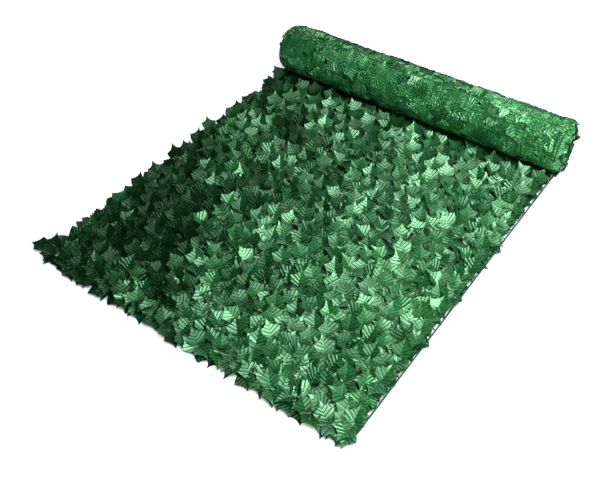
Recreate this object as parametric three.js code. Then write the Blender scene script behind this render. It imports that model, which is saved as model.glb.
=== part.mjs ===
// Artificial ivy-leaf mesh: a green plastic net with double ivy leaves pinned to it by their
// waists. It lies leaf side up on the floor, and the rest of its length is wound into a roll
// at the far end. Millimetres and degrees. X runs across the net, Y from the free end to the
// roll, Z up, and the origin is under the middle of the whole thing, on the floor.
import * as THREE from "three";

// Net
const NET_WIDTH = 1000;
const LAID_LENGTH = 1135; // free end to the line where the outer turn leaves the floor
const STRAND = 2; // thickness and width of a strand
const CROSS_PITCH = 43; // from one cross strand to the next
const LENGTH_PITCH = 27.5; // from one lengthwise strand to the next
const SELVAGE = 12; // the two lengthwise strands of an edge, over all
const GAP = 0.3; // clearance between pieces that touch

// One half of a double leaf, measured from the middle of its waist
const WAIST_HALF = 13;
const BULGE = { across: 22, along: 11 };
const LOBE = { across: 26.5, along: 27 };
const NOTCH = { across: 11, along: 34 };
const TIP = { across: 0, along: 55 };
const LEAF_SHEET = 1.6; // one leaf, measured upright
const ROW_SHEET = 2.4; // a joined row on its slope, measured upright

// Rows of leaves, one on every second cross strand
const ROW_PITCH = 2 * CROSS_PITCH;
const ROWS = 13;
const ROW_LEAF_SPACING = 66;
const ROW_VALLEY = 7; // what joins two neighbours, either side of the strand
const SEAM_RISE = 0.55; // slope of that joint under the upper halves
const SEAM_DROP = 0.12; // and under the lower ones
const ROW_LEFT = -484; // centre of the leftmost leaf of the first row
const ROW_MARGIN = 2; // between the last leaf of a row and the selvage
const LAST_ROW = { raise: 6, low: 6, reach: 0.82 }; // squeezed under the roll
const FIRST_ROW_LOW = 0; // level, with the leaves of the end strand lying on it

// Roll: an outer turn that leaves the floor, one pile's thickness lower after each turn
const ROLL_RADIUS = 87.5;
const TURN_PITCH = 11;
const TURNS = 6;
const FLAT_SINK = 2; // how far the flat spot is pressed in
const ROLL_STEPS = 36;
const ROLL_STATIONS = 9;
const ROLL_CENTRE_HEIGHT = ROLL_RADIUS - FLAT_SINK;

// Leaf tips that stand out of the roll's ends, as a comb wound with the turns
const COMB_WALL = 5;
const COMB_STEP = 25; // from one corner of the comb to the next, along the turn
const COMB_STEPS_PER_TURN = 9; // at least
const COMB_TIPS = [4, 17, 7, 12, 3, 21, 9, 5, 15, 24, 6, 11];

const COLOURS = {
  net: { color: 0x12402b, roughness: 0.5, metalness: 0 },
  leaf: { color: 0x1f6b3c, roughness: 0.42, metalness: 0 },
  roll: { color: 0x3c9254, roughness: 0.48, metalness: 0 },
};

// How the leaves of the rows differ: rise of the upper half, rise of the lower half, heading
// from +Y toward -X
const LEAF_MIX = [
  { raise: 42, low: 7, heading: 17 },
  { raise: 34, low: 7, heading: 5 },
  { raise: 47, low: 9, heading: 12 },
  { raise: 38, low: 8, heading: 18 },
  { raise: 30, low: 8, heading: -3 },
  { raise: 44, low: 7, heading: 14 },
  { raise: 36, low: 7, heading: 9 },
];
const MIX_STRIDE = 3;

// Unevenness of the roll: size, waves round it, waves along it, phase
const LUMPS = [
  { size: 1.4, around: 5, along: 9, phase: 0.4 },
  { size: 1.0, around: 3, along: 19, phase: 2.1 },
  { size: 0.9, around: 9, along: 15, phase: 4.0 },
];

// Leaves pinned to the end strand: place across the net, heading from +Y toward -X
const END_LEAVES = [
  { x: -462, heading: 118 },
  { x: -353, heading: 64 },
  { x: -245, heading: 107 },
  { x: -136, heading: 72 },
  { x: -28, heading: 112 },
  { x: 82, heading: 68 },
  { x: 190, heading: 104 },
  { x: 298, heading: 75 },
  { x: 412, heading: 113 },
];

// Leaves pinned beside the edges, which reach out past them: the row they follow, heading
const LEFT_LEAVES = [
  { row: 0, heading: 82 },
  { row: 2, heading: 97 },
  { row: 4, heading: 85 },
  { row: 6, heading: 92 },
  { row: 8, heading: 80 },
  { row: 10, heading: 95 },
];
const RIGHT_LEAVES = [
  { row: 1, heading: 274 },
  { row: 3, heading: 266 },
  { row: 5, heading: 271 },
  { row: 7, heading: 278 },
  { row: 9, heading: 265 },
  { row: 11, heading: 272 },
];

const HALF_WIDTH = NET_WIDTH / 2;
const LEFT_PIN = -HALF_WIDTH + SELVAGE;
const RIGHT_PIN = HALF_WIDTH - SELVAGE - LENGTH_PITCH;
const FULL_TURN = 2 * Math.PI;
const NET_TOP = STRAND + GAP;

function radians(degrees) {
  return degrees * Math.PI / 180;
}

function indexed(points, triangles) {
  const geometry = new THREE.BufferGeometry();
  geometry.setAttribute("position", new THREE.Float32BufferAttribute(points.flat(), 3));
  geometry.setIndex(triangles.flat());
  geometry.computeVertexNormals();
  return geometry;
}

// A closed sheet under a surface that is single-valued in height: the surface, its copy lower
// down, and a wall along each edge that only one triangle uses.
function sheet(points, triangles, thickness) {
  const count = points.length;
  const lower = points.map(([x, y, z]) => [x, y, z - thickness]);
  const faces = triangles.map((face) => [...face]);
  for (const [a, b, c] of triangles) {
    faces.push([a + count, c + count, b + count]);
  }
  const edges = new Set();
  for (const [a, b, c] of triangles) {
    for (const edge of [[a, b], [b, c], [c, a]]) {
      edges.add(edge.join(" "));
    }
  }
  for (const [a, b, c] of triangles) {
    for (const [from, to] of [[a, b], [b, c], [c, a]]) {
      if (!edges.has(`${to} ${from}`)) {
        faces.push([from, from + count, to + count], [from, to + count, to]);
      }
    }
  }
  return indexed([...points, ...lower], faces);
}

function piece(name, geometry, look) {
  const mesh = new THREE.Mesh(geometry, new THREE.MeshStandardMaterial(look));
  mesh.name = name;
  return mesh;
}

function numbered(name, number) {
  return `${name}_${String(number).padStart(2, "0")}`;
}

// The net under the leaves, from the left edge to the selvage on the right
function netSheet() {
  const width = NET_WIDTH - SELVAGE - GAP;
  const length = LAID_LENGTH - GAP;
  const geometry = new THREE.BoxGeometry(width, length, STRAND);
  geometry.translate(-HALF_WIDTH + width / 2, length / 2, STRAND / 2);
  return geometry;
}

// The right selvage: two lengthwise strands with a rung at every cross strand
function selvage() {
  const length = LAID_LENGTH - GAP;
  const outline = new THREE.Shape();
  outline.moveTo(HALF_WIDTH - SELVAGE, 0);
  outline.lineTo(HALF_WIDTH, 0);
  outline.lineTo(HALF_WIDTH, length);
  outline.lineTo(HALF_WIDTH - SELVAGE, length);
  outline.closePath();
  const cells = Math.floor(length / CROSS_PITCH);
  for (let cell = 0; cell < cells; cell += 1) {
    const near = cell * CROSS_PITCH + (cell === 0 ? STRAND : STRAND / 2);
    const far = (cell + 1) * CROSS_PITCH - STRAND / 2;
    const hole = new THREE.Path();
    hole.moveTo(HALF_WIDTH - SELVAGE + STRAND, near);
    hole.lineTo(HALF_WIDTH - SELVAGE + STRAND, far);
    hole.lineTo(HALF_WIDTH - STRAND, far);
    hole.lineTo(HALF_WIDTH - STRAND, near);
    hole.closePath();
    outline.holes.push(hole);
  }
  return new THREE.ExtrudeGeometry(outline, { depth: STRAND, bevelEnabled: false });
}

// A point of a leaf's half: across and along it, risen about its waist, turned by its heading
function leafPoint(pin, across, along, rise, heading) {
  const run = along * Math.cos(radians(rise));
  const turn = radians(heading);
  return [
    pin.x + across * Math.cos(turn) - run * Math.sin(turn),
    pin.y + across * Math.sin(turn) + run * Math.cos(turn),
    pin.z + Math.abs(along) * Math.sin(radians(rise)),
  ];
}

// One double leaf on its own, lying level: its rim goes once round, from one end of the waist
// over the far tip to the other end, and back over the near tip
function doubleLeaf(pin, heading) {
  const right = [BULGE, LOBE, NOTCH];
  const left = right.map(({ across, along }) => ({ across: -across, along })).reverse();
  const half = [{ across: WAIST_HALF, along: 0 }, ...right, TIP, ...left];
  const turned = half.map(({ across, along }) => ({ across: -across, along: -along }));
  const rim = [...half, ...turned];
  const points = [leafPoint(pin, 0, 0, 0, heading)];
  const triangles = [];
  rim.forEach(({ across, along }, index) => {
    points.push(leafPoint(pin, across, along, 0, heading));
    triangles.push([0, index + 1, (index + 1) % rim.length + 1]);
  });
  return sheet(points, triangles, LEAF_SHEET);
}

// A row of double leaves side by side on one cross strand, joined at their waists
function leafRow(row) {
  const y = CROSS_PITCH + row * ROW_PITCH;
  const last = row === ROWS - 1;
  const top = NET_TOP + ROW_SHEET;
  const points = [];
  const triangles = [];
  const add = (point) => points.push(point) - 1;
  const seam = (x) => ({
    waist: add([x, y, top]),
    upper: add([x, y + ROW_VALLEY, top + ROW_VALLEY * (last ? 0 : SEAM_RISE)]),
    lower: add([x, y - ROW_VALLEY, top + ROW_VALLEY * (row === 0 ? 0 : SEAM_DROP)]),
  });
  const stagger = (row % 2) * ROW_LEAF_SPACING / 2;
  let before = seam(ROW_LEFT + stagger - ROW_LEAF_SPACING / 2 + ROW_VALLEY);
  const room = HALF_WIDTH - SELVAGE - ROW_MARGIN - LOBE.across - ROW_LEFT - stagger;
  const leaves = Math.floor(room / ROW_LEAF_SPACING) + 1;
  for (let leaf = 0; leaf < leaves; leaf += 1) {
    const x = ROW_LEFT + stagger + leaf * ROW_LEAF_SPACING;
    const mix = LEAF_MIX[(leaf * MIX_STRIDE + row) % LEAF_MIX.length];
    const reach = last ? LAST_ROW.reach : 1;
    const raise = last ? LAST_ROW.raise : mix.raise;
    const low = row === 0 ? FIRST_ROW_LOW : mix.low;
    const pin = { x, y, z: top };
    const upper = (across, along) => leafPoint(pin, across, along * reach, raise, mix.heading);
    const lower = (across, along) => leafPoint(pin, across, -along, low, mix.heading / 2);
    const waist = add([x, y, top]);
    const lobeLeft = add(upper(-LOBE.across, LOBE.along));
    const tip = add(upper(TIP.across, TIP.along));
    const lobeRight = add(upper(LOBE.across, LOBE.along));
    const lowTip = add(lower(TIP.across, TIP.along));
    const after = seam(x + ROW_LEAF_SPACING / 2);
    triangles.push(
      [before.waist, lobeLeft, before.upper],
      [before.waist, waist, lobeLeft],
      [waist, tip, lobeLeft],
      [waist, lobeRight, tip],
      [waist, after.waist, lobeRight],
      [after.waist, after.upper, lobeRight],
      [before.waist, before.lower, lowTip],
      [before.waist, lowTip, waist],
      [waist, lowTip, after.waist],
      [after.waist, lowTip, after.lower],
    );
    before = after;
  }
  return sheet(points, triangles, ROW_SHEET);
}

// A point of the roll's outside: the angle runs from the floor up the back, over the top and
// down the front, where the turn ends on the pile of the laid run
function rollPoint(x, angle) {
  let radius = ROLL_RADIUS - TURN_PITCH * angle / FULL_TURN;
  for (const { size, around, along, phase } of LUMPS) {
    radius += size * Math.sin(angle / 2) * Math.sin(around * angle + along * x / NET_WIDTH + phase);
  }
  return [
    x,
    LAID_LENGTH + radius * Math.sin(angle),
    Math.max(0, ROLL_CENTRE_HEIGHT - radius * Math.cos(angle)),
  ];
}

function rollBody() {
  const points = [];
  const triangles = [];
  const ring = ROLL_STEPS + 1;
  for (let station = 0; station < ROLL_STATIONS; station += 1) {
    const x = -HALF_WIDTH + NET_WIDTH * station / (ROLL_STATIONS - 1);
    for (let step = 0; step < ring; step += 1) {
      points.push(rollPoint(x, FULL_TURN * step / ROLL_STEPS));
    }
  }
  for (let station = 0; station + 1 < ROLL_STATIONS; station += 1) {
    for (let step = 0; step < ring; step += 1) {
      const a = station * ring + step;
      const b = station * ring + (step + 1) % ring;
      triangles.push([a, b, b + ring], [a, b + ring, a + ring]);
    }
  }
  const section = points.slice(0, ring).map(([, y, z]) => new THREE.Vector2(y, z));
  const far = (ROLL_STATIONS - 1) * ring;
  for (const [a, b, c] of THREE.ShapeUtils.triangulateShape(section, [])) {
    triangles.push([a, c, b], [a + far, b + far, c + far]);
  }
  return indexed(points, triangles);
}

// The leaf tips that stand out along the turns at one end of the roll
function rollComb(side) {
  const points = [];
  const triangles = [];
  const base = side * (HALF_WIDTH + GAP);
  let angle = 0;
  let count = 0;
  while (angle < TURNS * FULL_TURN) {
    const radius = ROLL_RADIUS - TURN_PITCH / 2 - TURN_PITCH * angle / FULL_TURN;
    const tip = side * (HALF_WIDTH + COMB_TIPS[count % COMB_TIPS.length]);
    for (const r of [radius - COMB_WALL / 2, radius + COMB_WALL / 2]) {
      const y = LAID_LENGTH + r * Math.sin(angle);
      const z = ROLL_CENTRE_HEIGHT - r * Math.cos(angle);
      points.push([base, y, z], [tip, y, z]);
    }
    angle += Math.min(COMB_STEP / radius, FULL_TURN / COMB_STEPS_PER_TURN);
    count += 1;
  }
  const quad = (a, b, c, d) => triangles.push([a, b, c], [a, c, d]);
  for (let step = 0; step + 1 < count; step += 1) {
    const a = 4 * step;
    const b = a + 4;
    quad(a, a + 1, b + 1, b);
    quad(a + 1, a + 3, b + 3, b + 1);
    quad(a + 3, a + 2, b + 2, b + 3);
    quad(a + 2, a, b, b + 2);
  }
  const end = 4 * (count - 1);
  quad(0, 2, 3, 1);
  quad(end, end + 1, end + 3, end + 2);
  if (side < 0) {
    triangles.forEach((face) => face.reverse());
  }
  return indexed(points, triangles);
}

const screen = new THREE.Group();
screen.add(piece("net_laid", netSheet(), COLOURS.net));
screen.add(piece("net_selvage", selvage(), COLOURS.net));
for (let row = 0; row < ROWS; row += 1) {
  screen.add(piece(numbered("leaf_row", row + 1), leafRow(row), COLOURS.leaf));
}
END_LEAVES.forEach(({ x, heading }, index) => {
  const pin = { x, y: STRAND / 2, z: NET_TOP + ROW_SHEET + GAP + LEAF_SHEET };
  screen.add(piece(numbered("end_leaf", index + 1), doubleLeaf(pin, heading), COLOURS.leaf));
});
for (const [name, places, x] of [
  ["left_leaf", LEFT_LEAVES, LEFT_PIN],
  ["right_leaf", RIGHT_LEAVES, RIGHT_PIN],
]) {
  places.forEach(({ row, heading }, index) => {
    const pin = { x, y: ROW_PITCH * (row + 1), z: NET_TOP + LEAF_SHEET };
    screen.add(piece(numbered(name, index + 1), doubleLeaf(pin, heading), COLOURS.leaf));
  });
}
screen.add(piece("roll", rollBody(), COLOURS.roll));
screen.add(piece("roll_tips_left", rollComb(-1), COLOURS.leaf));
screen.add(piece("roll_tips_right", rollComb(1), COLOURS.leaf));

// The origin goes under the middle of the whole, on the floor
const box = new THREE.Box3().setFromObject(screen);
const middle = box.getCenter(new THREE.Vector3());
screen.position.set(-middle.x, -middle.y, -box.min.z);

export default screen;
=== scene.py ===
"""Artificial ivy-leaf mesh, laid leaf side up and rolled at its far end.

A green plastic net carries a double ivy leaf at almost every crossing, pinned by its waist. One
function, on_sheet, says where a point of the sheet lies: flat on the floor up to the roll, and on
a spiral after it. The net's strands, the pins and all the leaves are placed through it.
"""

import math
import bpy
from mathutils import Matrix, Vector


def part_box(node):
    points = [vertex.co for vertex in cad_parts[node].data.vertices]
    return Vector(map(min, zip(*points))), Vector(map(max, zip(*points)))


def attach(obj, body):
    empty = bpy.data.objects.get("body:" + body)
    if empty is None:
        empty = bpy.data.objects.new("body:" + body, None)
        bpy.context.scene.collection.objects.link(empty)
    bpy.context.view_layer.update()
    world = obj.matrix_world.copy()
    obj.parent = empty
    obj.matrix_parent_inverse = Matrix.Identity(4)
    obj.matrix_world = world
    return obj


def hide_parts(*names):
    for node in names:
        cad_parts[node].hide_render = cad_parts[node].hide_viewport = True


bl_info = {
    "name": "Artificial leaf mesh",
    "version": (1, 0, 0),
    "blender": (4, 5, 0),
    "location": "View3D > Sidebar > Leaf mesh",
    "description": "Builds a partly rolled screen of ivy leaves pinned to a plastic net",
    "category": "Object",
}

import bpy
import numpy as np
from mathutils import Matrix, Vector

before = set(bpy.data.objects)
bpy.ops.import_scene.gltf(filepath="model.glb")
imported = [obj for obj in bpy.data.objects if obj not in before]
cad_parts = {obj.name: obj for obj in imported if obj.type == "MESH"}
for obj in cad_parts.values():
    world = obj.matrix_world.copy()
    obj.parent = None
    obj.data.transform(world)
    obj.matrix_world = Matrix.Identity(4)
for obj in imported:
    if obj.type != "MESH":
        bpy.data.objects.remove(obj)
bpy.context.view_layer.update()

NET_LOW, NET_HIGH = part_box("net_laid")
ROLL_LOW, ROLL_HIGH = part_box("roll")
HALF_WIDTH = (ROLL_HIGH.x - ROLL_LOW.x) / 2
# The middle of the net's free end on the floor, from which the sheet is measured
SHEET_ORIGIN = Vector(((ROLL_LOW.x + ROLL_HIGH.x) / 2, NET_LOW.y, 0.0))
# What the CAD net leaves free before the roll. Nothing lies closer than this to the floor
GAP = 0.0003
LOWEST_LEAF = 0.0004
# How far the strands wander from their straight lines
WANDER = 0.0012

LEAF_NODES = sorted(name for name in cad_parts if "_leaf_" in name or "leaf_row" in name)
TIP_NODES = ["roll_tips_left", "roll_tips_right"]

# The rim of one half of a leaf, from the waist over the lobe to the tip, and the points of the
# midrib where its side veins start, all in millimetres from the middle of the waist
RIM_ACROSS = (13.0, 16.5, 18.3, 22.0, 23.3, 26.5, 22.5, 15.5, 13.2, 8.2, 6.7, 3.0, 0.0)
RIM_ALONG = (0.0, 4.5, 7.0, 14.5, 17.5, 28.5, 29.8, 32.8, 34.2, 38.6, 40.4, 47.0, 55.0)
VEIN_ROOT = (0.0, 1.0, 2.5, 5.5, 7.8, 13.0, 15.3, 22.0, 24.2, 31.0, 33.2, 42.0, 55.0)
# Height at each of those lines: every vein is a crest with a steep side toward the tip
CREASE = (0.0, 0.6, -0.4, 1.0, -0.7, 1.0, -0.7, 1.0, -0.7, 0.9, -0.6, 0.5, 0.0)
VEINS = len(VEIN_ROOT) - 1
MM = 0.001

# Painted light and shade on the leaf backs by their angle round the roll, scaling their colour and
# shine: a painted dark line along its top edge, a painted bright front and a painted dark underside
ROLL_SHADE = (
    (0.3, 1.6, 2.1, 2.5, 3.0, 4.2, 4.8, 5.3, 5.9, 6.4, 7.0),
    (0.1, 0.9, 0.0, 0.0, 0.9, 0.9, 1.3, 1.3, 0.25, 0.1, 0.8),
)

# Leaves that reach out at the corners of the laid run: along, across, height and heading
CORNER_LEAVES = (
    (0.026, -0.520, 0.0080, 105.0),
    (0.020, -0.478, 0.0100, 84.0),
    (0.030, 0.481, 0.0100, 14.0),
    (0.058, 0.470, 0.0070, 38.0),
    (0.026, 0.430, 0.0060, 10.0),
    (1.078, -0.502, 0.0060, 74.0),
)
# Stretches of the laid run whose leaves are painted nearly black as painted shade: along, across
# and reach
PAINTED_SHADE_PATCHES = ((0.16, -0.50, 0.11), (0.36, -0.40, 0.10), (1.07, -0.50, 0.06), (0.10, -0.12, 0.06))

# The laid leaves are joined into this many pieces, from the free end to the roll
LAID_BANDS = 4
# Leaves sit closer this near to the roll and this near to the right edge
CROWDED_AT_ROLL = 0.130
CROWDED_AT_EDGE = 0.070
# Leaves that stand up end this far before the roll, and those that lie low this far
LAST_STANDING = 0.065
LAST_LYING = 0.030
# Shares of the crossings of standing leaves: with a second leaf under it, and without any
SECOND_LEAVES = 0.65
BARE_CROSSINGS = 0.015

# How far in from the roll's ends the leaves of its inner turns are built
SEEN_AT_ENDS = 0.07
# Middle of the layer that the leaves of the roll are squeezed into, and the most they leave it
SQUEEZED = (0.0035, 0.0055)

# The camera's place from the middle of the free end, and its turn, dip and roll in degrees, from
# a fit to the net's edges and the roll's outlines
CAMERA_PLACE = (0.957, -0.7296, 1.4958)
CAMERA_ANGLES = (-37.49, 45.71, -2.01)
# Name, place, aim, size and power of every soft light
LIGHTS = (
    ("key", (1.7, -0.4, 2.8), (0.2, 0.4, 0.0), 2.1, 262.0),
    ("back", (-1.4, 3.2, 3.5), (-0.2, 0.7, 0.0), 2.6, 145.0),
    ("front", (1.7, -2.3, 0.9), (0.1, 1.0, 0.05), 1.4, 45.0),
)


class NetSizes(bpy.types.PropertyGroup):
    laid_length: bpy.props.FloatProperty(
        name="Laid length",
        description="From the free end to the line where the outer turn leaves the floor",
        default=NET_HIGH.y - NET_LOW.y + GAP,
        unit="LENGTH",
    )
    whole_length: bpy.props.FloatProperty(
        name="Whole length",
        description="Length of the net before it was rolled",
        default=3.0,
        unit="LENGTH",
    )
    strand: bpy.props.FloatProperty(
        name="Strand",
        description="Thickness of a strand of the net",
        default=0.0021,
        unit="LENGTH",
    )
    cross_pitch: bpy.props.FloatProperty(
        name="Cross pitch",
        description="From one cross strand to the next",
        default=0.043,
        unit="LENGTH",
    )
    columns: bpy.props.IntProperty(
        name="Columns",
        description="Cells across the net between the two edges",
        default=36,
    )
    edge_cell: bpy.props.FloatProperty(
        name="Edge cell",
        description="Width of the narrow cells along an edge",
        default=0.010,
        unit="LENGTH",
    )


class RollSizes(bpy.types.PropertyGroup):
    radius: bpy.props.FloatProperty(
        name="Radius",
        description="Radius of the outer turn where it leaves the floor",
        default=0.0875,
        unit="LENGTH",
    )
    turn: bpy.props.FloatProperty(
        name="Turn",
        description="Thickness of one turn of squeezed net and leaves",
        default=0.011,
        unit="LENGTH",
    )
    flat_sink: bpy.props.FloatProperty(
        name="Flat spot",
        description="How far the roll is pressed flat where it rests",
        default=0.002,
        unit="LENGTH",
    )


class LeafSizes(bpy.types.PropertyGroup):
    foil: bpy.props.FloatProperty(
        name="Foil",
        description="Thickness of a leaf",
        default=0.0005,
        unit="LENGTH",
    )
    pleat: bpy.props.FloatProperty(
        name="Pleat",
        description="Height of the pleats pressed along the side veins, from the middle",
        default=0.0007,
        unit="LENGTH",
    )
    heading: bpy.props.FloatProperty(
        name="Heading",
        description="Where most upper halves point, turned from the roll toward the left",
        default=math.radians(33),
        unit="ROTATION",
    )
    raised: bpy.props.FloatProperty(
        name="Raised",
        description="Usual slope of the upper half of a laid leaf",
        default=math.radians(36),
        unit="ROTATION",
    )
    lying: bpy.props.FloatProperty(
        name="Lying",
        description="Usual slope of the lower half of a laid leaf",
        default=math.radians(9),
        unit="ROTATION",
    )
    fold: bpy.props.FloatProperty(
        name="Fold",
        description="Usual slope of a leaf's sides up from its midrib",
        default=math.radians(15),
        unit="ROTATION",
    )


class LeafMeshColours(bpy.types.PropertyGroup):
    # The dark and light colours are the ends of mixes that hold the leaves' own colours and painted
    # light and shade
    leaf_dark: bpy.props.FloatVectorProperty(
        name="Dark leaf",
        description="Colour of the darkest leaves",
        subtype="COLOR",
        default=(0.0003, 0.005, 0.0008),
    )
    leaf_light: bpy.props.FloatVectorProperty(
        name="Light leaf",
        description="Colour of the lightest leaves",
        subtype="COLOR",
        default=(0.0045, 0.066, 0.0105),
    )
    back_dark: bpy.props.FloatVectorProperty(
        name="Dark back",
        description="Colour of the darkest leaf backs",
        subtype="COLOR",
        default=(0.0022, 0.034, 0.0044),
    )
    back_light: bpy.props.FloatVectorProperty(
        name="Light back",
        description="Colour of the lightest leaf backs",
        subtype="COLOR",
        default=(0.0075, 0.090, 0.0150),
    )
    # The veins' colours are partly their own paler colour and partly painted highlights on the
    # crests
    vein_and_highlight: bpy.props.FloatVectorProperty(
        name="Vein",
        description="Colour of the raised veins",
        subtype="COLOR",
        default=(0.0700, 0.290, 0.1100),
    )
    back_vein_and_highlight: bpy.props.FloatVectorProperty(
        name="Back vein",
        description="Colour of the veins on the leaf backs",
        subtype="COLOR",
        default=(0.0700, 0.360, 0.1100),
    )
    net: bpy.props.FloatVectorProperty(
        name="Net",
        description="Colour of the net",
        subtype="COLOR",
        default=(0.0020, 0.050, 0.0220),
    )
    floor: bpy.props.FloatVectorProperty(
        name="Floor",
        description="Colour of the floor",
        subtype="COLOR",
        default=(0.35, 0.35, 0.35),
    )


def settings(context):
    return context.scene.leaf_mesh


def roll_centre(s):
    return s.net.laid_length, s.roll.radius - s.roll.flat_sink


def outer_turn(s):
    """Length of the sheet in the outer turn of the roll."""
    return 2 * math.pi * s.roll.radius * 0.99


def turn_angle(s, run):
    """The angle round the roll at a distance run along the sheet past the laid length."""
    radius, turn = s.roll.radius, s.roll.turn
    return (radius - np.sqrt(radius**2 - turn * run / math.pi)) * 2 * math.pi / turn


def on_sheet(s, along, across, height):
    """Where a point of the sheet is: along and across it, and its height on the leaf side."""
    along, across, height = np.broadcast_arrays(along, across, height)
    centre_y, centre_z = roll_centre(s)
    run = np.maximum(along - s.net.laid_length, 0.0)
    angle = turn_angle(s, run)
    radius = s.roll.radius - s.roll.turn * angle / (2 * math.pi) - height
    radius = radius * (1.0 - end_slack(across) * np.clip(angle, 0.0, 1.0))
    rolled = along > s.net.laid_length
    y = np.where(rolled, centre_y + radius * np.sin(angle), along)
    z = np.where(rolled, centre_z - radius * np.cos(angle), height)
    near_floor = rolled & (angle < 0.5)
    z = np.where(near_floor, np.maximum(z, height), z)
    return np.stack([across, y, np.maximum(z, GAP)], axis=-1)


def end_slack(across):
    """How much the turns are drawn in toward the roll's ends, most of all at the left one."""
    left = np.clip((-across - (HALF_WIDTH - 0.038)) / 0.040, 0.0, 1.2)
    right = np.clip((across - (HALF_WIDTH - 0.010)) / 0.014, 0.0, 1.2)
    return 0.10 * left**2 + 0.05 * right**2


def clear_of_roll(s, y, z):
    """Points of the laid leaves moved out of the roll, straight away from its middle."""
    centre_y, centre_z = roll_centre(s)
    off_y, off_z = y - centre_y, z - centre_z
    reach = np.hypot(off_y, off_z)
    angle = np.arccos(np.clip(-off_z / reach, -1.0, 1.0))
    angle = np.where(off_y < 0, 2 * math.pi - angle, angle)
    need = s.roll.radius - s.roll.turn * angle / (2 * math.pi) + 0.004
    push = np.maximum(need / reach, 1.0)
    return centre_y + off_y * push, centre_z + off_z * push


def in_place(points):
    """Points measured from the free end's middle, in the frame of the whole object."""
    return points + np.array(SHEET_ORIGIN)


def strand_places(s):
    """Places of the lengthwise strands across the net, from the left edge to the right."""
    inner = HALF_WIDTH - s.net.strand / 2 - s.net.edge_cell
    middle = np.linspace(-inner, inner, s.net.columns + 1)
    edge = HALF_WIDTH - s.net.strand / 2
    return np.concatenate([[-edge], middle, [edge]])


def cross_places(s):
    """Places of the cross strands along the whole net, from the free end to the roll's core."""
    return np.arange(s.net.strand / 2, s.net.whole_length, s.net.cross_pitch)


def joined_mesh(name, points, faces, materials, face_material=None, uv=None, values=()):
    """A mesh object from arrays, with its place in its mesh. The values are named attributes."""
    mesh = bpy.data.meshes.new(name)
    mesh.from_pydata(points.reshape(-1, 3).tolist(), [], faces)
    if uv is not None:
        layer = mesh.uv_layers.new(name="Leaf")
        layer.uv.foreach_set("vector", uv.astype(np.float32).ravel())
    if face_material is not None:
        mesh.polygons.foreach_set("material_index", face_material.astype(np.int32))
    for key, value in dict(values).items():
        attribute = mesh.attributes.new(key, "FLOAT", "POINT")
        attribute.data.foreach_set("value", value.astype(np.float32))
    for material in materials:
        mesh.materials.append(material)
    mesh.update()
    piece = bpy.data.objects.new(name, mesh)
    bpy.context.scene.collection.objects.link(piece)
    return piece


def smooth_by_angle(piece, degrees):
    bpy.ops.object.select_all(action="DESELECT")
    piece.select_set(True)
    bpy.context.view_layer.objects.active = piece
    bpy.ops.object.shade_smooth_by_angle(angle=math.radians(degrees))
    piece.select_set(False)


def belongs(piece, nodes=()):
    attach(piece, "root")
    if nodes:
        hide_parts(*nodes)


# Materials


def new_material(name):
    material = bpy.data.materials.new(name)
    material.use_nodes = True
    nodes = material.node_tree.nodes
    nodes.clear()
    output = nodes.new("ShaderNodeOutputMaterial")
    shader = nodes.new("ShaderNodeBsdfPrincipled")
    material.node_tree.links.new(shader.outputs["BSDF"], output.inputs["Surface"])
    return material, shader


def math_node(tree, operation, first, second=None):
    node = tree.nodes.new("ShaderNodeMath")
    node.operation = operation
    for socket, value in zip(node.inputs, (first, second)):
        if value is None:
            continue
        if isinstance(value, (int, float)):
            socket.default_value = value
        else:
            tree.links.new(value, socket)
    return node.outputs[0]


def clipped(tree, value, low, high):
    return math_node(tree, "MINIMUM", math_node(tree, "MAXIMUM", value, low), high)


def mix_colours(tree, share, first, second):
    node = tree.nodes.new("ShaderNodeMix")
    node.data_type = "RGBA"
    sockets = (node.inputs[0], node.inputs[6], node.inputs[7])
    for socket, value in zip(sockets, (share, first, second)):
        if isinstance(value, bpy.types.NodeSocket):
            tree.links.new(value, socket)
        elif isinstance(value, (int, float)):
            socket.default_value = value
        else:
            socket.default_value = (*value, 1.0)
    return node.outputs[2]


def noise(tree, scale, detail=2.0, shift=None):
    """Noise on the piece's own coordinates. A shift gives every leaf its own stretch of it."""
    place = tree.nodes.new("ShaderNodeTexCoord")
    node = tree.nodes.new("ShaderNodeTexNoise")
    if shift is not None:
        node.noise_dimensions = "4D"
        tree.links.new(shift, node.inputs["W"])
    node.inputs["Scale"].default_value = scale
    node.inputs["Detail"].default_value = detail
    tree.links.new(place.outputs["Object"], node.inputs["Vector"])
    return node.outputs["Fac"]


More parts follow.
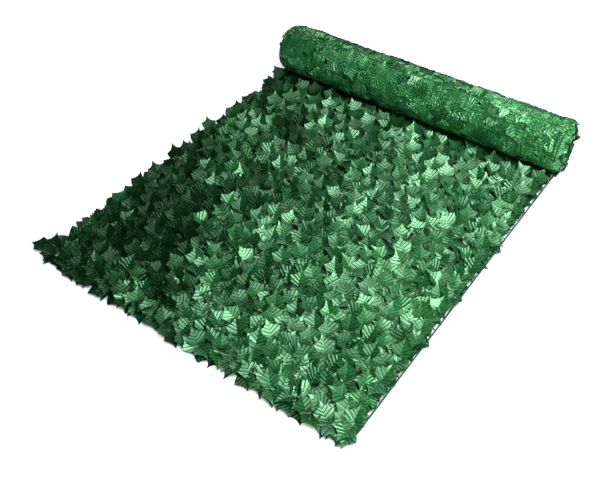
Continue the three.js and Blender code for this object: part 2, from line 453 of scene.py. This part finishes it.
def leaf_material(name, dark, light, vein_and_highlight, roughness, veins, crumple):
    """Pleated leaf foil with paler veins, partly their own colour and partly painted highlights on
    the crests, darker along its midrib, with a faint grain and creases of the given depth. Its
    colour and shine are scaled by each leaf's lightness and each point's painted light and shade,
    so darker leaves also shine less. The leaf's UV map runs across it, with the midrib in the
    middle, and from the waist to each tip."""
    material, shader = new_material(name)
    tree = material.node_tree
    uv = tree.nodes.new("ShaderNodeUVMap")
    uv.uv_map = "Leaf"
    axes = tree.nodes.new("ShaderNodeSeparateXYZ")
    tree.links.new(uv.outputs["UV"], axes.inputs[0])
    side = math_node(tree, "ABSOLUTE", math_node(tree, "SUBTRACT", axes.outputs[0], 0.5))
    rib = math_node(tree, "SUBTRACT", 1.0, math_node(tree, "MULTIPLY", side, 14.0))
    rib = math_node(tree, "MAXIMUM", rib, 0.0)
    tone_and_painted_light = tree.nodes.new("ShaderNodeAttribute")
    tone_and_painted_light.attribute_name = "tone_and_painted_light"
    shade = tree.nodes.new("ShaderNodeAttribute")
    shade.attribute_name = "shade"
    mottle = math_node(tree, "MULTIPLY", noise(tree, 160.0, 3.0), 0.4)
    share = math_node(tree, "ADD", math_node(tree, "MULTIPLY", tone_and_painted_light.outputs["Fac"], 0.85), mottle)
    share = math_node(tree, "SUBTRACT", share, 0.12)
    share = math_node(tree, "SUBTRACT", share, math_node(tree, "MULTIPLY", rib, 0.3))
    # Painted light and shade: each point's painted shading scales the share of the light colour
    share = clipped(tree, math_node(tree, "MULTIPLY", share, shade.outputs["Fac"]), 0.0, 1.0)
    green = mix_colours(tree, share, dark, light)
    cool = math_node(tree, "FRACT", math_node(tree, "MULTIPLY", tone_and_painted_light.outputs["Fac"], 7.0))
    cool = math_node(tree, "MULTIPLY", math_node(tree, "POWER", cool, 3.0), 0.4)
    teal = (light[0] * 0.6, light[1] * 0.6, light[2] * 1.5)
    green = mix_colours(tree, cool, green, teal)
    # Paler veins are painted where the pleats have their crests: partly their own colour and partly
    # painted highlights, faded on dark leaves and in painted shade
    crest = math_node(tree, "PINGPONG", math_node(tree, "MULTIPLY", axes.outputs[1], VEINS), 1.0)
    # The shine and the painted veins follow each leaf's lightness and the painted shading as well
    gloss = math_node(tree, "ADD", math_node(tree, "MULTIPLY", tone_and_painted_light.outputs["Fac"], 1.25), 0.15)
    gloss = math_node(tree, "MULTIPLY", gloss, shade.outputs["Fac"])
    line = math_node(tree, "MULTIPLY", math_node(tree, "POWER", crest, 3.0), gloss)
    line = math_node(tree, "MULTIPLY", line, math_node(tree, "ADD", noise(tree, 55.0, 1.0), -0.2))
    line = clipped(tree, math_node(tree, "MULTIPLY", line, 3.0 * veins), 0.0, 0.85)
    tree.links.new(mix_colours(tree, line, green, vein_and_highlight), shader.inputs["Base Color"])
    shader.inputs["Specular Tint"].default_value = (0.46, 0.92, 0.54, 1.0)
    shader.inputs["IOR"].default_value = 1.6
    shine = math_node(tree, "ADD", math_node(tree, "MULTIPLY", crest, 0.9), 0.55)
    shine = clipped(tree, math_node(tree, "MULTIPLY", shine, gloss), 0.04, 1.0)
    tree.links.new(shine, shader.inputs["Specular IOR Level"])
    grain = noise(tree, 1100.0, 2.0)
    rough = math_node(tree, "ADD", math_node(tree, "MULTIPLY", grain, 0.16), roughness - 0.08)
    tree.links.new(rough, shader.inputs["Roughness"])
    bump = tree.nodes.new("ShaderNodeBump")
    bump.inputs["Strength"].default_value = 1.0
    bump.inputs["Distance"].default_value = 1.0
    shift = math_node(tree, "MULTIPLY", tone_and_painted_light.outputs["Fac"], 9.0)
    folds = math_node(tree, "SUBTRACT", noise(tree, 38.0, 1.5, shift), 0.5)
    ridge = math_node(tree, "ABSOLUTE", folds)
    height = math_node(tree, "MULTIPLY", ridge, -crumple)
    height = math_node(tree, "ADD", height, math_node(tree, "MULTIPLY", grain, 0.00012))
    tree.links.new(height, bump.inputs["Height"])
    tree.links.new(bump.outputs["Normal"], shader.inputs["Normal"])
    return material


def leaf_materials(context):
    """The face and the back of the leaf foil, made once."""
    colours = settings(context).colours
    made = bpy.data.materials
    if "leaf_face" not in made:
        leaf_material(
            "leaf_face",
            dark=colours.leaf_dark,
            light=colours.leaf_light,
            vein_and_highlight=tuple(colours.vein_and_highlight),
            roughness=0.39,
            veins=0.26,
            crumple=0.0,
        )
        leaf_material(
            "leaf_back",
            dark=colours.back_dark,
            light=colours.back_light,
            vein_and_highlight=tuple(colours.back_vein_and_highlight),
            roughness=0.36,
            veins=0.75,
            crumple=0.007,
        )
    return [made["leaf_face"], made["leaf_back"]]


def net_material(context):
    if "net_plastic" in bpy.data.materials:
        return bpy.data.materials["net_plastic"]
    colours = settings(context).colours
    material, shader = new_material("net_plastic")
    tree = material.node_tree
    dark = tuple(0.6 * channel for channel in colours.net)
    light = tuple(1.5 * channel for channel in colours.net)
    tree.links.new(mix_colours(tree, noise(tree, 90.0), dark, light), shader.inputs["Base Color"])
    shader.inputs["Roughness"].default_value = 0.55
    shader.inputs["Specular IOR Level"].default_value = 0.3
    bump = tree.nodes.new("ShaderNodeBump")
    bump.inputs["Strength"].default_value = 0.5
    bump.inputs["Distance"].default_value = 0.0002
    tree.links.new(noise(tree, 700.0), bump.inputs["Height"])
    tree.links.new(bump.outputs["Normal"], shader.inputs["Normal"])
    return material


def floor_material(context):
    """A floor that glows where nothing is near it, so that it is white there, also in the soft
    shadows, and dark under the leaves."""
    material, shader = new_material("floor_paper")
    shader.inputs["Base Color"].default_value = (*settings(context).colours.floor, 1.0)
    shader.inputs["Roughness"].default_value = 0.9
    shader.inputs["Specular IOR Level"].default_value = 0.1
    shader.inputs["Emission Color"].default_value = (1.0, 1.0, 1.0, 1.0)
    tree = material.node_tree
    cover = tree.nodes.new("ShaderNodeAmbientOcclusion")
    cover.inputs["Distance"].default_value = 0.022
    glow = math_node(tree, "MULTIPLY", math_node(tree, "ADD", cover.outputs["AO"], -0.32), 2.4)
    glow = math_node(tree, "MULTIPLY", clipped(tree, glow, 0.0, 1.0), 0.64)
    tree.links.new(glow, shader.inputs["Emission Strength"])
    return material


# Net


def tube(points, radius, sides=4):
    """Points and faces of a closed tube along points, with its section square to a chord."""
    ahead = np.roll(points, -1, axis=0) - points
    ahead[-1] = ahead[-2]
    behind = np.roll(ahead, 1, axis=0)
    behind[0] = ahead[0]
    way = ahead + behind
    way /= np.linalg.norm(way, axis=1, keepdims=True)
    base = np.array([1.0, 0.0, 0.0]) if abs(way[0, 0]) < 0.9 else np.array([0.0, 0.0, 1.0])
    side = np.cross(way, base)
    side /= np.linalg.norm(side, axis=1, keepdims=True)
    up = np.cross(side, way)
    turns = (np.arange(sides) + 0.5) * 2 * math.pi / sides
    ring = np.cos(turns)[None, :, None] * side[:, None] + np.sin(turns)[None, :, None] * up[:, None]
    rim = points[:, None] + radius * ring
    faces = []
    for step in range(len(points) - 1):
        for corner in range(sides):
            a = step * sides + corner
            b = step * sides + (corner + 1) % sides
            faces.append([a, b, b + sides, a + sides])
    faces.append(list(range(sides))[::-1])
    last = (len(points) - 1) * sides
    faces.append([last + corner for corner in range(sides)])
    return rim.reshape(-1, 3), faces


def joined(parts):
    """Points and faces of several parts as one."""
    points, faces, start = [], [], 0
    for part_points, part_faces in parts:
        points.append(part_points)
        faces.extend([[corner + start for corner in face] for face in part_faces])
        start += len(part_points)
    return np.concatenate(points), faces


def strands(s, first, last):
    """The strands of the net between two places along it. Those of its edges are thicker."""
    places = strand_places(s)
    parts = []
    steps = int((last - first) / (s.net.cross_pitch / 3)) + 1
    along = np.linspace(first, last, steps)
    thin, thick = s.net.strand * 0.57, s.net.strand * 1.1
    for place in places:
        slow, quick = np.sin(along * 9.0 + place * 31.0), np.sin(along * 23.0 + place * 57.0)
        fade = np.clip((HALF_WIDTH - s.net.strand / 2 - abs(place)) / 0.02, 0.0, 1.0)
        across = place + WANDER * (slow + 0.5 * quick) * fade
        radius = thick if abs(place) > HALF_WIDTH - 0.015 else thin
        parts.append(tube(on_sheet(s, along, across, radius), radius))
    for along in cross_places(s):
        if first <= along < last:
            drift = WANDER * 0.8 * np.sin(places * 17.0 + along * 41.0)
            parts.append(tube(on_sheet(s, along + drift, places, thin + 0.0004), thin))
    return parts


def pins(heads):
    """Small pressed heads that hold the leaves' waists, each from its foot over its widest ring
    to its flat top."""
    parts = []
    sides = 6
    levels = ((0.0017, 0.0), (0.0019, 0.0007), (0.0011, 0.0013))
    turns = np.arange(sides) * 2 * math.pi / sides
    circle = np.stack([np.cos(turns), np.sin(turns), np.zeros(sides)], axis=1)
    for head in heads:
        rings = [head + radius * circle + np.array([0.0, 0.0, up]) for radius, up in levels]
        faces = [
            [level * sides + k, level * sides + (k + 1) % sides,
             (level + 1) * sides + (k + 1) % sides, (level + 1) * sides + k]
            for level in range(len(levels) - 1)
            for k in range(sides)
        ]
        faces.append(list(range(sides))[::-1])
        faces.append([(len(levels) - 1) * sides + k for k in range(sides)])
        parts.append((np.concatenate(rings), faces))
    return parts


# Leaves


def leaf_blank(s):
    """The flat double leaf, cut once: its points, faces, face materials and UV. A grid is laid
    along the side veins of both halves, closed at the tips, and given its thickness."""
    bpy.ops.object.select_all(action="DESELECT")
    bpy.ops.mesh.primitive_grid_add(x_subdivisions=2, y_subdivisions=2 * VEINS, size=2.0)
    blank = bpy.context.active_object
    mesh = blank.data
    grid = np.zeros(len(mesh.vertices) * 3)
    mesh.vertices.foreach_get("co", grid)
    grid = grid.reshape(-1, 3)
    share = grid[:, 0]
    half = np.sign(np.round(grid[:, 1], 6))
    climb = np.abs(grid[:, 1]) * VEINS
    levels = np.arange(VEINS + 1)
    edge_across = np.interp(climb, levels, RIM_ACROSS)
    edge_along = np.interp(climb, levels, RIM_ALONG)
    root = np.interp(climb, levels, VEIN_ROOT)
    side = np.abs(share)
    along = root + (edge_along - root) * side
    level = np.round(climb).astype(int)
    pleat = np.array(CREASE)[level] * (0.7 + 0.3 * side) * s.leaf.pleat
    flat = np.stack([share * edge_across * MM, half * along * MM, pleat], axis=1)
    mesh.vertices.foreach_set("co", flat.ravel())
    layer = mesh.uv_layers.new(name="Leaf") if not mesh.uv_layers else mesh.uv_layers[0]
    layer.name = "Leaf"
    corner = np.zeros(len(mesh.loops), dtype=np.int32)
    mesh.loops.foreach_get("vertex_index", corner)
    leaf_uv = np.stack([share[corner] / 2 + 0.5, climb[corner] / VEINS], axis=1)
    layer.uv.foreach_set("vector", leaf_uv.astype(np.float32).ravel())
    bpy.ops.object.mode_set(mode="EDIT")
    bpy.ops.mesh.select_all(action="SELECT")
    bpy.ops.mesh.remove_doubles(threshold=0.00001)
    bpy.ops.mesh.normals_make_consistent(inside=False)
    bpy.ops.object.mode_set(mode="OBJECT")
    if mesh.polygons[0].normal.z < 0:
        mesh.flip_normals()
    wall = blank.modifiers.new("Foil", "SOLIDIFY")
    wall.thickness = s.leaf.foil
    wall.offset = 0.0
    wall.material_offset = 1
    wall.material_offset_rim = 0
    mesh.materials.append(None)
    mesh.materials.append(None)
    bpy.ops.object.modifier_apply(modifier=wall.name)
    points = np.array([tuple(v.co) for v in mesh.vertices])
    faces = [list(face.vertices) for face in mesh.polygons]
    material = np.array([face.material_index for face in mesh.polygons])
    uv = np.zeros(len(mesh.loops) * 2)
    mesh.uv_layers["Leaf"].uv.foreach_get("vector", uv)
    bpy.data.objects.remove(blank)
    bpy.data.meshes.remove(mesh)
    return {"points": points, "faces": faces, "material": material, "uv": uv.reshape(-1, 2)}


def shaped_leaves(blank, pose):
    """Every leaf bent to its pose, about its own waist: x and y on the sheet, z above it.
    The slope of a half grows over its first centimetre and then curls, its sides fold up from
    the midrib, and it is twisted, tilted and turned to its heading."""
    points = blank["points"]
    across, along, offset = points.T
    reach = np.abs(along)
    steps = np.linspace(0.0, 0.056, 29)
    width = steps[1] - steps[0]
    count = len(pose["heading"])
    lift = np.clip(steps / 0.010, 0.0, 1.0)
    lift = lift * lift * (3 - 2 * lift)
    path = {}
    for half in ("upper", "lower"):
        curl = pose[half + "_curl"][:, None] * (steps / steps[-1]) ** 2
        slope = pose[half][:, None] * lift + curl
        run = np.cumsum(np.cos(slope), axis=1) * width
        rise = np.cumsum(np.sin(slope), axis=1) * width
        path[half] = (slope, run - run[:, :1], rise - rise[:, :1])
    index = np.clip(reach / width, 0, len(steps) - 1.001)
    low = index.astype(int)
    part = index - low

    def along_path(table):
        return table[:, low] * (1 - part) + table[:, low + 1] * part

    upper = along > 0
    slope = np.where(upper, along_path(path["upper"][0]), along_path(path["lower"][0]))
    run = np.where(upper, along_path(path["upper"][1]), along_path(path["lower"][1]))
    rise = np.where(upper, along_path(path["upper"][2]), along_path(path["lower"][2]))
    sign = np.where(upper, 1.0, -1.0)
    side = np.abs(across)
    edge = np.clip(reach / 0.012, 0.25, 1.0)
    fold = np.tan(pose["fold"])[:, None] * side * edge
    skew = np.tan(pose["twist"])[:, None] * across * np.clip(reach / 0.05, 0.0, 1.0)
    out = fold + skew + offset * pose["pleat"][:, None]
    x = np.broadcast_to(across, (count, len(across))) * np.cos(pose["fold"])[:, None]
    y = sign * (run - out * np.sin(slope))
    z = rise + out * np.cos(slope)
    tilt = pose["tilt"][:, None]
    x, z = x * np.cos(tilt) + z * np.sin(tilt), z * np.cos(tilt) - x * np.sin(tilt)
    turn = pose["heading"][:, None]
    x, y = x * np.cos(turn) - y * np.sin(turn), x * np.sin(turn) + y * np.cos(turn)
    return x, y, z


def leaf_poses(rng, spots, **usual):
    """Random poses about the usual values, each given as its middle and its spread."""
    count = len(spots)
    pose = {}
    for key, (middle, spread) in usual.items():
        pose[key] = middle + np.clip(rng.normal(0.0, 1.0, count), -2.0, 2.0) * spread
    return pose


def leaf_piece(context, name, blank, points, tones_and_painted_light, shade):
    """One joined mesh of many leaves, whose points are given leaf by leaf. Every leaf has a
    lightness, from dark to light, that holds both its own colour and painted light and shade, and
    every point its painted shading, which darkens or lightens it."""
    count, size = points.shape[:2]
    faces = blank["faces"]
    whole = []
    for leaf in range(count):
        start = leaf * size
        whole.extend([[corner + start for corner in face] for face in faces])
    piece = joined_mesh(
        name,
        in_place(points.reshape(-1, 3)),
        whole,
        leaf_materials(context),
        face_material=np.tile(blank["material"], count),
        uv=np.tile(blank["uv"], (count, 1)),
        values={"tone_and_painted_light": np.repeat(tones_and_painted_light, size), "shade": shade.ravel()},
    )
    smooth_by_angle(piece, 18)
    return piece


def laid_spots(s, rng, layer):
    """The crossings of the laid run that carry a leaf of one layer: along, across and height.
    In layer 0 every second crossing has a leaf that stands up. In layer 1 those between have one
    that lies low, and so have many of the others."""
    spots = []
    places = strand_places(s)[1:-1]
    laid = s.net.laid_length
    for row, along in enumerate(cross_places(s)):
        if along > laid - LAST_LYING:
            break
        for column, across in enumerate(places):
            crowded = along > laid - CROWDED_AT_ROLL or across > HALF_WIDTH - CROWDED_AT_EDGE
            second = layer == 1 and (crowded or rng.random() < SECOND_LEAVES)
            if (row + column) % 2 != layer and not second:
                continue
            if layer == 0 and (along > laid - LAST_STANDING or rng.random() < BARE_CROSSINGS):
                continue
            height = s.net.strand + 0.0008 + rng.random() * 0.003 + 0.003 * (1 - layer)
            spots.append((along + rng.normal(0, 0.003), across + rng.normal(0, 0.003), height))
    return np.array(spots)


def slid_in(s, rng, x, y):
    """Leaves slid along the sheet so that few of them pass the right edge or the free end."""
    count = len(x)
    right = HALF_WIDTH + 0.004 - 0.006 * rng.random(count) + 0.010 * (rng.random(count) < 0.2)
    left = -HALF_WIDTH - 0.018 - 0.040 * rng.random(count) ** 2
    free = -0.016 - 0.014 * rng.random(count)
    x = x - np.maximum(x.max(axis=1) - right, 0.0)[:, None]
    x = x + np.maximum(left - x.min(axis=1), 0.0)[:, None]
    y = y + np.maximum(free - y.min(axis=1), 0.0)[:, None]
    return x, y


def laid_habits(s):
    """Usual poses of the laid leaves, each value as its middle and spread: of those that stand
    up, of those that lie low and of those placed at the corners."""
    standing = dict(
        heading=(s.leaf.heading, math.radians(30)),
        upper=(s.leaf.raised, math.radians(10)),
        upper_curl=(math.radians(-6), math.radians(14)),
        lower=(s.leaf.lying, math.radians(7)),
        lower_curl=(math.radians(-6), math.radians(8)),
        fold=(s.leaf.fold, math.radians(7)),
        twist=(0.0, math.radians(10)),
        tilt=(0.0, math.radians(10)),
        pleat=(1.0, 0.2),
    )
    lying = dict(
        standing,
        heading=(s.leaf.heading, math.radians(26)),
        upper=(s.leaf.raised * 0.35, math.radians(8)),
        lower=(s.leaf.lying * 0.5, math.radians(4)),
        fold=(s.leaf.fold * 0.5, math.radians(5)),
    )
    corners = dict(lying, upper=(math.radians(9), 0.0), tilt=(0.0, 0.0), twist=(0.0, 0.0))
    return standing, lying, corners


def rolled_habits(s):
    """Usual poses of the leaves of the roll, which are pressed flat and point every way."""
    return dict(
        heading=(s.leaf.heading, math.radians(70)),
        upper=(math.radians(1), math.radians(6)),
        upper_curl=(0.0, math.radians(10)),
        lower=(math.radians(1), math.radians(6)),
        lower_curl=(0.0, math.radians(10)),
        fold=(math.radians(2), math.radians(8)),
        twist=(0.0, math.radians(7)),
        tilt=(0.0, math.radians(5)),
        pleat=(1.8, 0.4),
    )


def laid_tones_and_painted_light(s, rng, x, y):
    """The lightness of every laid leaf, by its middle, with painted light and shade in it: painted
    lighter toward the right and past halfway, in soft patches, with chance of its own, and painted
    dark in the patches of painted shade and in the painted shadow of the roll."""
    patches = np.sin(x * 13 + 2.5 * np.sin(y * 9)) * np.sin(y * 11 + 2.0 * np.sin(x * 7) + 1.0)
    # Painted light: lighter toward the right and toward the middle of the run
    tones_and_painted_light = 0.32 + 0.26 * patches + 0.38 * x / HALF_WIDTH + 0.24 * np.sin(math.pi * y / 1.4)
    chance = rng.normal(0, 1, len(x))
    tones_and_painted_light = tones_and_painted_light + 0.2 * chance + 0.08 * (chance**2 - 1)
    # Painted shade in the listed patches, and the roll's painted shadow on the leaves next to it
    for along, across, reach in PAINTED_SHADE_PATCHES:
        tones_and_painted_light -= np.exp(-((y - along) ** 2 + (x - across) ** 2) / reach**2)
    in_roll_shadow = y > s.net.laid_length - 0.050
    return np.clip(np.where(in_roll_shadow, 0.4 * tones_and_painted_light, tones_and_painted_light), 0.0, 1.0)


class LEAFMESH_OT_stage(bpy.types.Operator):
    """Adds the floor, the lights and the camera"""

    bl_idname = "leafmesh.stage"
    bl_label = "Stage"

    def execute(self, context):
        bpy.ops.object.select_all(action="DESELECT")
        bpy.ops.mesh.primitive_plane_add(size=40.0, location=(0.0, 0.0, 0.0))
        floor = context.active_object
        floor.name = "floor"
        floor.data.materials.append(floor_material(context))
        self.add_camera(context)
        for light in LIGHTS:
            self.add_light(context, *light)
        world = bpy.data.worlds.new("studio")
        context.scene.world = world
        world.use_nodes = True
        sky = world.node_tree.nodes["Background"]
        sky.inputs["Color"].default_value = (1.0, 1.0, 1.0, 1.0)
        sky.inputs["Strength"].default_value = 0.03
        context.scene.view_settings.view_transform = "Standard"
        return {"FINISHED"}

    def add_camera(self, context):
        turn, dip, roll = (math.radians(angle) for angle in CAMERA_ANGLES)
        level = Vector((math.cos(turn), -math.sin(turn), 0.0))
        level_share = math.cos(dip)
        ahead = Vector((math.sin(turn) * level_share, math.cos(turn) * level_share, -math.sin(dip)))
        lift = level.cross(ahead)
        right = math.cos(roll) * level + math.sin(roll) * lift
        up = math.cos(roll) * lift - math.sin(roll) * level
        camera = bpy.data.cameras.new("camera")
        camera.sensor_width = 36.0
        camera.lens = 45.0
        camera.clip_end = 60.0
        holder = bpy.data.objects.new("camera", camera)
        place = SHEET_ORIGIN + Vector(CAMERA_PLACE)
        turned = Matrix((right, up, -ahead)).transposed().to_4x4()
        holder.matrix_world = Matrix.Translation(place) @ turned
        context.scene.collection.objects.link(holder)
        context.scene.camera = holder

    def add_light(self, context, name, place, aim, size, power):
        light = bpy.data.lights.new(name, "AREA")
        light.size = size
        light.energy = power
        holder = bpy.data.objects.new(name, light)
        holder.location = place
        holder.rotation_euler = (Vector(aim) - Vector(place)).to_track_quat("-Z", "Y").to_euler()
        context.scene.collection.objects.link(holder)


class LEAFMESH_OT_net(bpy.types.Operator):
    """Builds the strands of the net, laid and wound"""

    bl_idname = "leafmesh.net"
    bl_label = "Net"

    def execute(self, context):
        s = settings(context)
        laid = s.net.laid_length
        for name, first, last, nodes in (
            ("net_strands_laid", 0.0, laid, ["net_laid", "net_selvage"]),
            ("net_strands_wound", laid, s.net.whole_length, ["roll"]),
        ):
            points, faces = joined(strands(s, first, last))
            piece = joined_mesh(name, in_place(points), faces, [net_material(context)])
            smooth_by_angle(piece, 50)
            belongs(piece, nodes)
        return {"FINISHED"}


class LEAFMESH_OT_laid_leaves(bpy.types.Operator):
    """Builds the leaves of the laid run and the pins that hold them"""

    bl_idname = "leafmesh.laid_leaves"
    bl_label = "Laid leaves"

    def execute(self, context):
        s = settings(context)
        rng = np.random.default_rng(23)
        blank = leaf_blank(s)
        standing, lying, corners = laid_habits(s)
        layers = [self.layer(s, rng, blank, 0, standing), self.layer(s, rng, blank, 1, lying)]
        points = np.concatenate([*layers, self.corner_layer(s, rng, blank, corners)])
        points = points[np.argsort(points[:, :, 1].mean(axis=1))]
        tones_and_painted_light = laid_tones_and_painted_light(s, rng, points[:, :, 0].mean(axis=1), points[:, :, 1].mean(axis=1))
        bands = np.array_split(np.arange(len(points)), LAID_BANDS)
        for number, band in enumerate(bands, 1):
            # Painted shade: what lies low is darkened as if in the shade of the leaves above it
            shade = np.clip(0.15 + (points[band][:, :, 2] - 0.004) / 0.016, 0.15, 1.0)
            name = f"laid_leaves_{number}"
            piece = leaf_piece(context, name, blank, points[band], tones_and_painted_light[band], shade)
            belongs(piece, LEAF_NODES[number - 1::LAID_BANDS])
        waist = np.argmin(np.abs(blank["points"][:, :2]).sum(axis=1) - blank["points"][:, 2])
        self.add_pins(context, points[:, waist])
        return {"FINISHED"}

    def layer(self, s, rng, blank, layer, usual):
        """The leaves of one layer. At the right edge they point more along the net."""
        spots = laid_spots(s, rng, layer)
        pose = leaf_poses(rng, spots, **usual)
        pose["heading"] *= np.where(spots[:, 1] > HALF_WIDTH - 0.025, 0.35, 1.0)
        x, y, z = self.at_spots(blank, pose, spots)
        x, y = slid_in(s, rng, x, y)
        return self.lying_clear(s, x, y, z)

    def corner_layer(self, s, rng, blank, usual):
        """The listed leaves, placed one by one with their own headings."""
        spots = np.array([corner[:3] for corner in CORNER_LEAVES])
        pose = leaf_poses(rng, spots, **usual)
        pose["heading"] = np.radians([corner[3] for corner in CORNER_LEAVES])
        return self.lying_clear(s, *self.at_spots(blank, pose, spots))

    def at_spots(self, blank, pose, spots):
        x, y, z = shaped_leaves(blank, pose)
        along, across, height = spots.T
        return x + across[:, None], y + along[:, None], z + height[:, None]

    def lying_clear(self, s, x, y, z):
        y, z = clear_of_roll(s, y, z)
        return np.stack([x, y, np.maximum(z, LOWEST_LEAF)], axis=-1)

    def add_pins(self, context, heads):
        points, faces = joined(pins(heads))
        piece = joined_mesh("leaf_pins", in_place(points), faces, [net_material(context)])
        smooth_by_angle(piece, 50)
        belongs(piece)


class LEAFMESH_OT_rolled_leaves(bpy.types.Operator):
    """Builds the leaves of the roll: the backs of the outer turn, and the ends of the rest"""

    bl_idname = "leafmesh.rolled_leaves"
    bl_label = "Rolled leaves"

    def execute(self, context):
        s = settings(context)
        rng = np.random.default_rng(37)
        laid = s.net.laid_length
        outer, inner = [], []
        for along in cross_places(s):
            if along < laid - LAST_LYING:
                continue
            for across in strand_places(s)[1:-1]:
                if along < laid + outer_turn(s):
                    outer.append((along, across))
                elif abs(across) > HALF_WIDTH - SEEN_AT_ENDS:
                    inner.append((along, across))
        blank = leaf_blank(s)
        self.build(context, s, rng, "roll_leaves", np.array(outer), blank)
        self.build(context, s, rng, "roll_end_leaves", np.array(inner), blank)
        return {"FINISHED"}

    def build(self, context, s, rng, name, spots, blank):
        """One piece of leaves squeezed between the turns. Past the roll's ends their tips are
        drawn in toward its middle."""
        pose = leaf_poses(rng, spots, **rolled_habits(s))
        x, y, z = shaped_leaves(blank, pose)
        smooth = shaped_leaves(blank, dict(pose, pleat=0.0 * pose["pleat"]))[2]
        along, across = spots.T
        pleats = z - smooth
        z = smooth + 0.0005 + 0.0065 * rng.random(len(spots))[:, None]
        middle, room = SQUEEZED
        z = middle + room * np.tanh((z - middle) / room) + pleats
        x, y = x + across[:, None], y + along[:, None]
        ragged = rng.random(len(spots))[:, None] ** 2
        edge = HALF_WIDTH + np.where(x > 0, 0.003 + 0.018 * ragged, 0.013 * ragged - 0.002)
        over = np.maximum(np.abs(x) - edge, 0.0)
        x = x - np.sign(x) * over * 0.86
        z = z + (0.008 + 0.012 * rng.random(len(spots))[:, None]) * np.tanh(over / 0.020)
        points = on_sheet(s, y, x, z)
        # Painted light and shade: by the angle round the roll, darker deeper between the turns, and
        # painted brighter on the tips past the ends
        run = np.maximum(y - s.net.laid_length, 0.0)
        shade = np.interp(turn_angle(s, run), *ROLL_SHADE)
        shade = shade * np.clip(1.1 - (z - 0.001) / 0.010, 0.2, 1.0)
        shade = np.maximum(shade, np.where(over > 0, np.where(x > 0, 1.5, 0.6), 0.0))
        # Each leaf's own random lightness, with painted light in it: darker toward the left end and
        # lighter at the right end
        tones_and_painted_light = 0.05 + 0.9 * rng.random(len(spots)) + 0.22 * across / HALF_WIDTH
        tones_and_painted_light = np.clip(tones_and_painted_light + 0.4 * (across > HALF_WIDTH - 0.03), 0.0, 1.0)
        piece = leaf_piece(context, name, blank, points, tones_and_painted_light, shade)
        belongs(piece, TIP_NODES if name == "roll_end_leaves" else ["roll"])


class LEAFMESH_OT_sheets(bpy.types.Operator):
    """Does nothing."""

    bl_idname = "leafmesh.sheets"
    bl_label = "Sheets"

    def execute(self, context):
        return {"FINISHED"}


class LEAFMESH_PT_panel(bpy.types.Panel):
    """Lists the pieces of the leaf mesh"""

    bl_idname = "LEAFMESH_PT_panel"
    bl_label = "Leaf mesh"
    bl_space_type = "VIEW_3D"
    bl_region_type = "UI"
    bl_category = "Leaf mesh"

    def draw(self, context):
        for operator in OPERATORS:
            self.layout.operator(operator.bl_idname)
        s = settings(context)
        for group in (s.net, s.roll, s.leaf, s.colours):
            for name in group.__annotations__:
                self.layout.prop(group, name)


class LeafMeshSettings(bpy.types.PropertyGroup):
    net: bpy.props.PointerProperty(type=NetSizes)
    roll: bpy.props.PointerProperty(type=RollSizes)
    leaf: bpy.props.PointerProperty(type=LeafSizes)
    colours: bpy.props.PointerProperty(type=LeafMeshColours)


OPERATORS = (
    LEAFMESH_OT_stage,
    LEAFMESH_OT_net,
    LEAFMESH_OT_laid_leaves,
    LEAFMESH_OT_rolled_leaves,
    LEAFMESH_OT_sheets,
)
CLASSES = (
    NetSizes,
    RollSizes,
    LeafSizes,
    LeafMeshColours,
    LeafMeshSettings,
    *OPERATORS,
    LEAFMESH_PT_panel,
)


def register():
    for cls in CLASSES:
        bpy.utils.register_class(cls)
    bpy.types.Scene.leaf_mesh = bpy.props.PointerProperty(type=LeafMeshSettings)


def unregister():
    del bpy.types.Scene.leaf_mesh
    for cls in reversed(CLASSES):
        bpy.utils.unregister_class(cls)


def main():
    register()
    bpy.ops.leafmesh.stage()
    bpy.ops.leafmesh.net()
    bpy.ops.leafmesh.laid_leaves()
    bpy.ops.leafmesh.rolled_leaves()
    bpy.ops.leafmesh.sheets()


if __name__ == "__main__":
    main()
